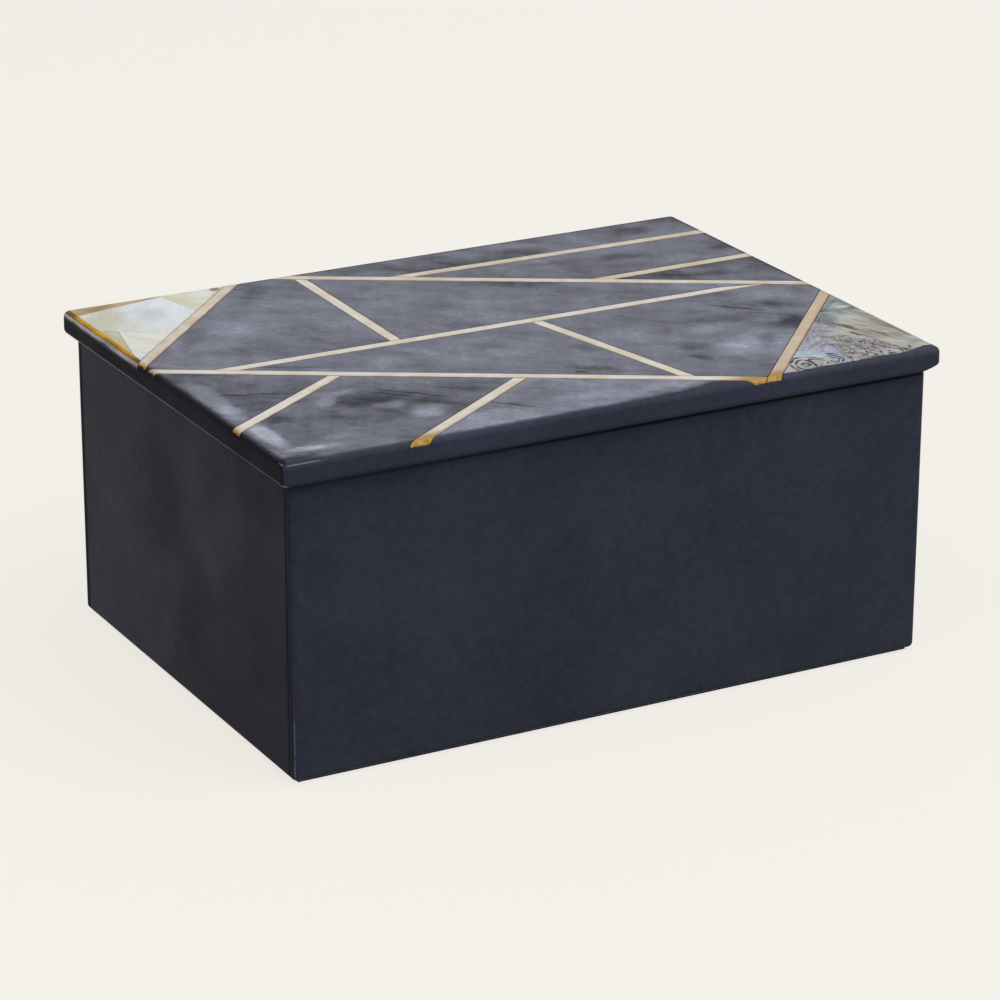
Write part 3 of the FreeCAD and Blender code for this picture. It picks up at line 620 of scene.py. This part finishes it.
def speckled_abalone(name, number, clouds, spots):
    """Grey shell full of short black squiggles, closer together towards the front edge."""
    paint = Paint(name)
    place = seeded(paint, number)
    drawn = paint.turned(place, -28.0, stretch=3.0)
    field = paint.noise(drawn, 6 * MM, detail=4, roughness=0.55, distortion=0.9)
    colour = with_spots(paint, paint.ramp(field, *zip(SHELL_STEPS, clouds)), spots)
    thin = paint.turned(place, -73.0, stretch=3.2)
    threads = paint.noise(thin, 1.8 * MM, detail=3, roughness=0.6, distortion=0.9)
    lines = paint.near(threads, 0.5, 0.015, 0.050)
    flecks = paint.noise(paint.turned(seeded(paint, number + 5), -73.0, stretch=2.6), 1.2 * MM, detail=3)
    forward = paint.remap(paint.y, -50 * MM, -84 * MM)
    broken = paint.total(paint.noise(place, 6 * MM, detail=3), (forward, 0.20))
    dark = paint.math("MAXIMUM", lines, paint.remap(flecks, 0.57, 0.65))
    squiggles = paint.product(dark, paint.remap(broken, 0.48, 0.64, 0.1, 1.0))
    colour = paint.mix(paint.remap(flecks, 0.42, 0.34, 0.0, 0.7), colour, FLECK_LIGHT)
    return abalone(paint, paint.mix(squiggles, colour, SQUIGGLE), field)


def streaked_abalone(name, number, angle, clouds, spots, lines):
    """Shell with streaks, coloured spots and a patch of fine contour lines."""
    paint = Paint(name)
    place = seeded(paint, number)
    drawn = paint.turned(place, angle, stretch=3.5)
    field = paint.noise(drawn, 5 * MM, detail=4, roughness=0.55, distortion=0.8)
    colour = with_spots(paint, paint.ramp(field, *zip(SHELL_STEPS, clouds)), spots)
    colour = paint.shaded(colour, paint.remap(field, 0.32, 0.68, 0.62, 1.08))
    *place_of, run = lines
    wander = paint.warped(paint.warped(paint.place, 14 * MM, 3.0 * MM), 3 * MM, 1.1 * MM)
    across = paint.split(paint.turned(wander, run))[1]
    broken = paint.remap(paint.noise(place, 6 * MM, detail=2), 0.38, 0.58, 0.35, 0.85)
    contour = paint.product(paint.contours(across, 1.05 * MM, 0.85), paint.spot(wander, *place_of), broken)
    colour = paint.mix(contour, colour, CONTOUR)
    veins = paint.noise(paint.turned(place, angle, stretch=7.0), 1.3 * MM, detail=3, distortion=0.8)
    colour = paint.mix(paint.remap(veins, 0.62, 0.72, 0.0, 0.75), colour, VEIN)
    return abalone(paint, colour, field)


def felt(name):
    """Dark felt with matted fibres and a little lint."""
    paint = Paint(name)
    fibres = paint.noise(paint.place, 0.6 * MM, detail=4, roughness=0.75, distortion=0.8)
    lint = paint.noise(paint.place, 7 * MM, detail=3)
    colour = paint.shaded(FELT, paint.spread(fibres, 0.6, 1.7))
    colour = paint.shaded(colour, paint.spread(lint, 0.85, 1.15))
    relief = paint.bump(fibres, 0.25 * MM)
    return paint.finish(colour, 0.95, relief, Specular_IOR_Level=0.1, Sheen_Weight=0.5, Sheen_Roughness=0.5)


def plain_board(name):
    """A stained board with grain along its length."""
    paint = Paint(name)
    drawn = paint.turned(paint.place, 0.0, stretch=18.0)
    grain = paint.noise(drawn, 3 * MM, detail=5, roughness=0.65, distortion=0.6)
    colour = paint.ramp(grain, (0.30, BOARD_DARK), (0.70, BOARD_LIGHT))
    return paint.finish(colour, 0.6, paint.bump(grain, 0.05 * MM), Specular_IOR_Level=0.3)


def steel(name):
    """Plain steel with small drawing marks."""
    paint = Paint(name)
    marks = paint.noise(paint.place, 0.4 * MM, detail=4, roughness=0.7)
    colour = paint.mix(paint.spread(marks), STEEL_DARK, STEEL_LIGHT)
    return paint.finish(colour, paint.spread(marks, 0.28, 0.5), paint.bump(marks, 0.01 * MM), metallic=1.0)


def dress(name, material):
    """Give a CAD node a finish in all its material slots."""
    for slot in nodes[name].material_slots:
        slot.material = material


def felt_sheet(name, node, relief):
    """A felt sheet in the place of a node: a fine grid with a slightly uneven upper face and soft edges."""
    low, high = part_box(node)
    columns = round((high.x - low.x) / FELT_GRID)
    rows = round((high.y - low.y) / FELT_GRID)
    soft_edge = FELT_EDGE_DROP * (high.z - low.z)
    vertices = []
    for row in range(rows + 1):
        for column in range(columns + 1):
            x = low.x + (high.x - low.x) * column / columns
            y = low.y + (high.y - low.y) * row / rows
            rim = row in (0, rows) or column in (0, columns)
            lump = 0.5 + 0.5 * noise.noise(Vector((x, y, 0.0)) / FELT_LUMPS)
            vertices.append((x, y, high.z - (soft_edge if rim else relief * lump)))
    across = columns + 1
    faces = [(row * across + column, row * across + column + 1,
              (row + 1) * across + column + 1, (row + 1) * across + column)
             for row in range(rows) for column in range(columns)]
    border = list(range(across))
    border += [row * across + columns for row in range(1, rows + 1)]
    border += [rows * across + column for column in range(columns - 1, -1, -1)]
    border += [row * across for row in range(rows - 1, 0, -1)]
    foot = len(vertices)
    for index in border:
        vertices.append((vertices[index][0], vertices[index][1], low.z))
    for count in range(len(border)):
        after = (count + 1) % len(border)
        faces.append((border[count], foot + count, foot + after, border[after]))
    faces.append(tuple(foot + count for count in reversed(range(len(border)))))
    mesh = bpy.data.meshes.new(name)
    mesh.from_pydata(vertices, [], faces)
    for polygon in mesh.polygons[:rows * columns]:
        polygon.use_smooth = True
    sheet = bpy.data.objects.new(name, mesh)
    bpy.context.scene.collection.objects.link(sheet)
    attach(sheet, "box")
    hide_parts(node)
    return sheet


# Box body
for panel in ("front_panel", "back_panel", "left_panel", "right_panel"):
    dress(panel, wall_lacquer(f"lacquer_{panel}"))
dress("bottom_panel", plain_board("stained_board"))
for pins in ("bottom_pins", "lip_pins"):
    dress(pins, steel(f"steel_{pins}"))
lining = felt_sheet("lining_felt", "floor_lining", LINING_RELIEF)
lining.data.materials.append(felt("felt_lining"))
pad = felt_sheet("pad_felt", "base_felt", 0.0)
pad.data.materials.append(felt("felt_pad"))

# Lid board and battens
for part in ("lid_core", "lip_front", "lip_back", "lip_left", "lip_right"):
    dress(part, lid_lacquer(f"lacquer_{part}"))

# How much lighter or darker each tile is than the middle tone
TILE_TONES = {
    "back_tile": -0.16, "upper_right_tile": -0.10, "right_tile": -0.28, "upper_left_tile": -0.07,
    "centre_tile": -0.09, "sliver_tile": 0.0, "lower_centre_tile": -0.06, "lower_right_tile": -0.09,
    "left_tile": -0.22, "corner_tile": -0.13, "front_tile": 0.16,
}
# Light and dark patches of each tile, in millimetres: x, y, reach along and across, angle, strength
TILE_PATCHES = {
    "left_tile": [(-106, -11, 16, 8, -30, -0.15), (-96, -20, 12, 6, 20, 0.10)],
    "corner_tile": [(-120, -88, 13, 7, 10, -0.62), (-73, -46, 15, 9, -15, -0.20),
                    (-92, -58, 18, 9, -15, -0.20), (-86, -40, 10, 7, 40, 0.42),
                    (-76, -35.5, 8, 4, 20, 0.32), (-106, -79, 14, 5, -8, 0.34),
                    (-69, -54.5, 8, 5, 10, 0.30), (-61, -66, 11, 8, 25, 0.60),
                    (-106, -49, 9, 8, 0, -0.20), (-97, -74, 9, 5, 10, 0.18)],
    "front_tile": [(-58, -66, 14, 9, 25, 0.28), (-36, -72, 16, 4, -45, -0.12),
                   (-14, -58, 7, 5, -30, -0.14), (-8, -76, 14, 8, -20, 0.24),
                   (-47, -79, 14, 6, 0, 0.14), (30, -90, 42, 10, 3, -0.95),
                   (12, -74, 10, 8, 0, -0.14)],
    "upper_left_tile": [(-76, 44, 20, 26, -30, 0.18), (-106, 20, 14, 8, 30, -0.12),
                        (-56, 78, 14, 8, 45, -0.10), (-100, 38, 22, 6, 46, -0.22)],
    "centre_tile": [(-22, 36, 10, 20, 0, 0.10), (-20, 62, 12, 9, 0, -0.18),
                    (28, 42, 26, 9, -30, -0.24), (0, 24, 12, 8, 0, 0.14)],
    "lower_centre_tile": [(-82, -4, 14, 5, -30, -0.14), (-30, -25, 13, 9, 0, 0.16),
                          (8, -54, 14, 6, -35, -0.32), (-10, -15, 13, 7, 0, -0.18),
                          (-50, -14, 14, 8, -20, 0.12)],
    "lower_right_tile": [(36, -28, 14, 20, 0, 0.14), (95, -42, 18, 9, 47, -0.34),
                         (77, -54, 12, 7, 47, -0.30), (78, -28, 16, 7, -20, -0.28),
                         (67, -36, 12, 7, -20, 0.26), (50, -49, 11, 7, -40, -0.36),
                         (47, -61, 10, 4, -70, -0.24), (64, -58, 15, 13, 30, 0.34),
                         (100, -22, 20, 9, -10, -0.22)],
    "back_tile": [(-12, 76, 12, 8, 0, 0.20), (8, 82, 8, 7, 60, -0.10),
                  (52, 76, 9, 8, 60, -0.11), (100, 78, 14, 7, 0, -0.14),
                  (28, 80, 9, 8, 60, 0.16), (76, 80, 8, 8, 60, 0.16)],
    "upper_right_tile": [(52, 57, 16, 5, -10, -0.15), (80, 53, 14, 5, -10, -0.15),
                         (119, 48, 9, 10, 60, -0.18), (96, 40, 14, 6, 0, 0.18)],
    "right_tile": [(98, 20, 16, 7, -20, -0.20), (117, 8, 10, 8, -30, 0.10)],
}
# Streaks and scratches with firmer edges, in the same terms. The light bands along the left arris are
# painted highlights; the dark ones are rubbed streaks and scratches.
TILE_STREAKS_AND_HIGHLIGHTS = {
    "left_tile": [(-118.2, -21, 25, 5.6, 90, 0.35), (-118.2, -37, 12, 5.4, 90, 0.30),
                  (-102, -25, 22, 1.6, -22, -0.14)],
    "corner_tile": [(-117.4, -61, 19, 5.0, 90, 0.60), (-111.5, -79, 9, 3.0, -8, 0.44),
                    (-58, -46, 17, 1.2, -46, -0.15), (-63, -46, 16, 0.9, -46, -0.11),
                    (-44, -48, 16, 0.8, -46, -0.12)],
    "front_tile": [(-32, -74, 14, 1.0, -46, -0.24), (-37, -74, 12, 0.8, -46, -0.18),
                   (-27, -76, 10, 0.7, -46, -0.14)],
    "lower_centre_tile": [(2.5, -54.5, 2.6, 1.1, -28, -0.50), (-80, -5, 16, 1.6, -26, -0.16)],
    "lower_right_tile": [(86, -20, 16, 1.5, -46, -0.26), (92, -30, 12, 1.0, -44, -0.14)],
}
for number, name in enumerate(TILES, start=1):
    patches = TILE_PATCHES.get(name, [])
    streaks = TILE_STREAKS_AND_HIGHLIGHTS.get(name, [])
    dress(name, smoky_tile(f"smoke_{name}", number, TILE_TONES[name], patches, streaks))

# Share of tan in the brass, and in the strips that aren't the usual pale ones
USUAL_TAN = 0.20
STRIP_TAN = {
    "pearl_strip": 0.55, "abalone_strip": 0.95, "back_strip": 0.50, "upper_right_strip": 0.50,
    "right_strip": 0.50,
}
for number, name in enumerate(STRIPS, start=1):
    dress(name, brass(f"brass_{name}", nodes[name], number, STRIP_TAN.get(name, USUAL_TAN)))

# Pieces of shell. A spot is x, y, reach along and across, angle, share of flat core, colour, strength.
WHITE = (0.69, 0.725, 0.75)
CREAM = (0.52, 0.515, 0.41)
TAN = (0.40, 0.285, 0.075)
OLIVE = (0.048, 0.042, 0.030)
STRAW = (0.37, 0.35, 0.285)
# Mother-of-pearl: angle and grain of the bands, their three colours, and the spots
PEARL = {
    "pearl_band": (
        12, 8 * MM, [(0.33, 0.22, 0.095), (0.42, 0.305, 0.145), (0.52, 0.385, 0.19)],
        [(-114, 85.5, 12, 2.4, 11, 0.3, (0.28, 0.165, 0.06), 0.7),
         (-120, 85, 4, 3, 11, 0.3, (0.40, 0.30, 0.15), 0.7),
         (-100, 88, 9, 2.5, 12, 0.3, (0.55, 0.38, 0.16), 0.8),
         (-90, 90, 3.5, 2, 12, 0.3, (0.34, 0.27, 0.16), 0.8)]),
    "pearl_right": (
        -10, 11 * MM, [(0.57, 0.555, 0.40), (0.62, 0.62, 0.46), (0.66, 0.665, 0.55)],
        [(-86, 83, 10, 5, -60, 0.3, (0.58, 0.53, 0.34), 0.6),
         (-73, 85, 8, 6, 45, 0.4, (0.70, 0.71, 0.64), 0.9),
         (-81, 73, 6, 3, -60, 0.3, (0.56, 0.54, 0.38), 0.6),
         (-67, 86.5, 3.5, 2.2, 45, 0.3, (0.17, 0.13, 0.085), 0.9)]),
    "pearl_centre": (
        61, 16 * MM, [(0.56, 0.58, 0.575), (0.61, 0.63, 0.63), (0.66, 0.68, 0.68)],
        [(-117, 70, 18, 9, 61, 0.4, CREAM, 0.95),
         (-111, 62, 12, 6, 61, 0.3, (0.58, 0.59, 0.51), 0.8),
         (-92, 74, 20, 8, 75, 0.5, WHITE, 0.9),
         (-101, 82, 12, 4, 25, 0.4, (0.66, 0.70, 0.73), 0.8),
         (-98.5, 55, 10, 4, 40, 0.4, (0.66, 0.675, 0.69), 0.8),
         (-98.5, 69.3, 12, 7, 61, 0.15, (0.515, 0.545, 0.56), 0.85),
         (-100, 73, 5, 1.6, 40, 0.3, (0.475, 0.505, 0.51), 0.7)]),
    "pearl_edge": (
        75, 8 * MM, [(0.48, 0.41, 0.235), (0.52, 0.47, 0.31), (0.56, 0.53, 0.39)],
        [(-118.2, 63, 5, 3.2, 60, 0.4, TAN, 0.9),
         (-121.5, 56, 8, 2.5, 75, 0.3, (0.47, 0.38, 0.19), 0.7),
         (-121, 42, 11, 2.2, 80, 0.3, (0.47, 0.375, 0.18), 0.6)]),
    "pearl_lower": (
        -35, 10 * MM, [(0.61, 0.60, 0.49), (0.665, 0.67, 0.585), (0.69, 0.70, 0.64)],
        [(-113, 47, 5, 3, 0, 0.3, (0.62, 0.57, 0.40), 0.5),
         (-117.5, 38, 5, 2.5, -20, 0.3, (0.64, 0.60, 0.47), 0.5)]),
    "pearl_tip": (
        0, 6 * MM, [(0.52, 0.55, 0.53), (0.62, 0.66, 0.63), (0.68, 0.71, 0.69)], []),
}
for number, (name, recipe) in enumerate(PEARL.items(), start=1):
    dress(name, mother_of_pearl(f"shell_{name}", number, *recipe))

dress("abalone_left", looped_abalone("shell_abalone_left", 1))
dress("abalone_middle", speckled_abalone(
    "shell_abalone_middle", 2, [(0.22, 0.21, 0.23), (0.335, 0.32, 0.325), (0.45, 0.425, 0.405)],
    [(97, -55, 9, 5, 57, 0.4, (0.23, 0.245, 0.28), 0.8),
     (104.5, -62, 9, 4, -67, 0.3, (0.41, 0.385, 0.37), 0.7),
     (110, -75, 9, 3, -67, 0.3, (0.37, 0.35, 0.31), 0.6)]))
# Abalone with streaks: their angle, three colours, the spots, and the oval and run of the contour lines
STREAKED = {
    "abalone_right": (
        -67, [(0.27, 0.265, 0.21), (0.36, 0.35, 0.29), (0.43, 0.42, 0.34)],
        [(104, -47, 13, 6, 57, 0.5, (0.20, 0.24, 0.255), 0.9),
         (113, -43.5, 6, 4.5, -30, 0.4, (0.25, 0.345, 0.355), 0.95),
         (115.5, -48, 9, 3.5, -50, 0.4, (0.40, 0.425, 0.38), 0.9),
         (121.5, -43, 5, 2.2, -50, 0.4, (0.30, 0.385, 0.385), 0.9),
         (117, -60, 11, 3.2, -72, 0.4, STRAW, 0.8),
         (121.5, -60, 10, 2.6, -78, 0.4, (0.26, 0.255, 0.215), 0.7),
         (108.4, -56, 10, 2.4, -67, 0.1, OLIVE, 0.9),
         (114.3, -67.3, 8, 2.2, -67, 0.1, OLIVE, 0.8),
         (119, -76.5, 4, 2.2, -60, 0.4, (0.36, 0.32, 0.36), 0.8),
         (121, -79.6, 4.5, 3.2, 30, 0.4, (0.22, 0.30, 0.315), 0.95),
         (115.5, -84, 3, 1.0, 60, 0.3, (0.10, 0.08, 0.075), 0.9),
         (113, -78, 6, 2, -67, 0.3, (0.33, 0.345, 0.27), 0.7)],
        (103.5, -48.5, 19, 7.5, 57, 0.2, 57)),
    "abalone_tip": (
        47, [(0.145, 0.155, 0.165), (0.185, 0.195, 0.210), (0.240, 0.245, 0.270)],
        [(116.5, -33.5, 7, 4, 10, 0.4, (0.26, 0.345, 0.325), 0.9),
         (119.5, -36.2, 4, 1.6, -12, 0.4, (0.48, 0.565, 0.42), 0.9),
         (112, -37.5, 4, 3, 47, 0.4, (0.17, 0.225, 0.235), 0.8),
         (121.5, -38.6, 4, 0.8, -12, 0.4, (0.09, 0.12, 0.12), 0.8)],
        (110, -38, 6, 4, 57, 0.3, 57)),
}
for number, (name, recipe) in enumerate(STREAKED.items(), start=3):
    dress(name, streaked_abalone(f"shell_{name}", number, *recipe))


def seeing_share(tree):
    """1 for the seeing rays and 0 for all others."""
    path = tree.nodes.new("ShaderNodeLightPath")
    share = path.outputs[SEEING_RAYS[0]]
    for ray in SEEING_RAYS[1:]:
        node = tree.nodes.new("ShaderNodeMath")
        node.operation = "MAXIMUM"
        tree.links.new(share, node.inputs[0])
        tree.links.new(path.outputs[ray], node.inputs[1])
        share = node.outputs[0]
    return share


def colour_for(tree, share, others, chosen):
    """One colour for most rays and another for the chosen ones."""
    node = tree.nodes.new("ShaderNodeMix")
    node.data_type = "RGBA"
    tree.links.new(share, node.inputs[0])
    node.inputs[6].default_value = (*others, 1.0)
    node.inputs[7].default_value = (*chosen, 1.0)
    return node.outputs[2]


def studio_floor():
    """A pale floor that shows the background colour and keeps a soft shadow of the box."""
    half = FLOOR_HALF_WIDTH
    corners = [(-half, -half, 0), (half, -half, 0), (half, half, 0), (-half, half, 0)]
    mesh = bpy.data.meshes.new("floor")
    mesh.from_pydata(corners, [], [(0, 1, 2, 3)])
    floor = bpy.data.objects.new("floor", mesh)
    bpy.context.scene.collection.objects.link(floor)
    material = bpy.data.materials.new("pale_floor")
    material.use_nodes = True
    tree = material.node_tree
    tree.nodes.clear()
    seen = seeing_share(tree)
    diffuse = tree.nodes.new("ShaderNodeBsdfDiffuse")
    tree.links.new(colour_for(tree, seen, STUDIO_FLOOR, BACKGROUND), diffuse.inputs["Color"])
    glow = tree.nodes.new("ShaderNodeEmission")
    glow.inputs["Color"].default_value = (*BACKGROUND, 1.0)
    share = tree.nodes.new("ShaderNodeMath")
    share.operation = "MULTIPLY"
    tree.links.new(seen, share.inputs[0])
    share.inputs[1].default_value = FLOOR_GLOW
    blend = tree.nodes.new("ShaderNodeMixShader")
    tree.links.new(share.outputs[0], blend.inputs[0])
    tree.links.new(diffuse.outputs[0], blend.inputs[1])
    tree.links.new(glow.outputs[0], blend.inputs[2])
    output = tree.nodes.new("ShaderNodeOutputMaterial")
    tree.links.new(blend.outputs[0], output.inputs["Surface"])
    mesh.materials.append(material)


def studio_world():
    """Even soft light, with the background colour where the camera looks past the floor."""
    world = bpy.data.worlds.new("studio")
    bpy.context.scene.world = world
    world.use_nodes = True
    tree = world.node_tree
    tree.nodes.clear()
    background = tree.nodes.new("ShaderNodeBackground")
    seen = seeing_share(tree)
    tree.links.new(colour_for(tree, seen, STUDIO_LIGHT, BACKGROUND), background.inputs["Color"])
    strength = tree.nodes.new("ShaderNodeMapRange")
    tree.links.new(seen, strength.inputs["Value"])
    strength.inputs["To Min"].default_value = STUDIO_STRENGTH
    strength.inputs["To Max"].default_value = BACKGROUND_STRENGTH
    tree.links.new(strength.outputs["Result"], background.inputs["Strength"])
    output = tree.nodes.new("ShaderNodeOutputWorld")
    tree.links.new(background.outputs[0], output.inputs["Surface"])


def softbox(name, place, width, power):
    """A square area lamp that faces the box."""
    lamp = bpy.data.lights.new(name, "AREA")
    lamp.size = width
    lamp.energy = power
    holder = bpy.data.objects.new(name, lamp)
    holder.location = place
    holder.rotation_mode = "QUATERNION"
    holder.rotation_quaternion = (Vector(LAMP_AIM) - Vector(place)).to_track_quat("-Z", "Y")
    bpy.context.scene.collection.objects.link(holder)


def photo_camera():
    """The camera at the viewing angle of the photograph."""
    azimuth = math.radians(CAMERA_AZIMUTH)
    elevation = math.radians(CAMERA_ELEVATION)
    level = math.cos(elevation)
    back = Vector((math.sin(azimuth) * level, -math.cos(azimuth) * level, math.sin(elevation)))
    right = Vector((math.cos(azimuth), math.sin(azimuth), 0.0))
    centre = Vector((0.0, 0.0, LOOK_AT_HEIGHT))
    lens = bpy.data.cameras.new("camera")
    lens.sensor_width = SENSOR_WIDTH
    lens.lens = CAMERA_LENS
    camera = bpy.data.objects.new("camera", lens)
    camera.location = centre + back * CAMERA_DISTANCE
    sight = camera.location - centre - right * LOOK_AT_RIGHT
    camera.rotation_mode = "QUATERNION"
    roll = Quaternion(sight, math.radians(CAMERA_ROLL))
    camera.rotation_quaternion = roll @ sight.to_track_quat("Z", "Y")
    bpy.context.scene.collection.objects.link(camera)
    bpy.context.scene.camera = camera


studio_floor()
studio_world()
for name, (place, width, power) in LAMPS.items():
    softbox(name, place, width, power)
photo_camera()
bpy.context.scene.view_settings.view_transform = "Standard"
